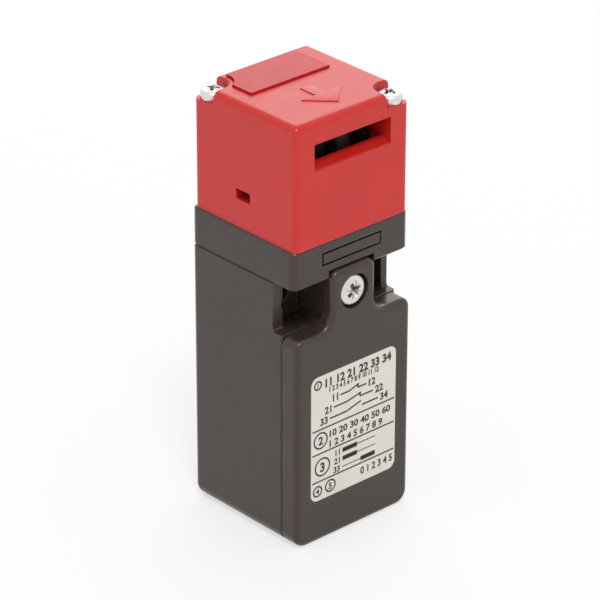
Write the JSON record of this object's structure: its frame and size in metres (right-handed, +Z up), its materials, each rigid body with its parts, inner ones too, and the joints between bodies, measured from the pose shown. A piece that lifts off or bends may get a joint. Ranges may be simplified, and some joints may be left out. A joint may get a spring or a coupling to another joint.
{
  "type": "safety switch",
  "caption": "Slim key-operated safety switch: square head with a key slot and cam wheel on a box body with a screwed front cover, contact block and bottom cable entry.",
  "frame": {"origin": "middle of the base, under the middle of the bounding box", "axes": "+Z up through the head, -Y is the front with the label and the key slot, +X to the right seen from the front"},
  "size_m": [0.031, 0.0316, 0.0939],
  "materials": {
    "red_plastic": "satin moulded glass-filled polymer",
    "black_plastic": "satin moulded glass-filled polymer",
    "dark_plastic": "satin moulded polymer",
    "label": "printed film",
    "zinc_steel": "bright zinc plate",
    "spring_steel": "drawn wire",
    "brass": "bright",
    "contact_silver": "silver alloy",
    "rubber": "matt",
    "white_acetal": "moulded acetal",
    "grey_thermoset": "moulded thermoset"
  },
  "bodies": {
    "housing": {"head_housing": "red_plastic", "top_slot_plug": "red_plastic", "head_screws": "zinc_steel", "head_screw_inserts": "brass", "cam_cage": "dark_plastic", "cam_axle": "zinc_steel", "head_gasket": "rubber", "rod_guide": "dark_plastic", "rod_seal": "rubber", "body_collar": "black_plastic", "body_housing": "black_plastic", "front_cover": "black_plastic", "cover_gasket": "rubber", "label_plate": "label", "cover_screw": "zinc_steel", "cover_screw_retainer": "white_acetal", "cover_screw_insert": "brass", "contact_block": "grey_thermoset", "contact_block_cover": "dark_plastic", "fixed_contacts": "brass", "fixed_contact_tips": "contact_silver", "return_spring": "spring_steel", "terminal_clamps": "zinc_steel", "terminal_screws": "zinc_steel", "block_posts": "brass", "block_screws": "zinc_steel"},
    "cam": {"cam_wheel": "dark_plastic"},
    "plunger": {"push_rod": "white_acetal", "contact_carrier": "white_acetal", "bridge_contacts": "brass", "bridge_contact_tips": "contact_silver", "contact_springs": "spring_steel"}
  },
  "joints": [
    {"name": "cam_turn", "type": "hinge", "parent": "housing", "child": "cam", "pos_m": [0, 0.00015, 0.0798], "axis": [-1, 0, 0], "range_deg": [0, 50]},
    {"name": "plunger_slide", "type": "slide", "parent": "housing", "child": "plunger", "axis": [0, 0, 1], "range_m": [0, 0.0026], "deforming": ["return_spring"]}
  ],
  "couplings": [
    {"joint": "cam_turn", "follows": "plunger_slide", "rad_per_m": 335.64}
  ]
}
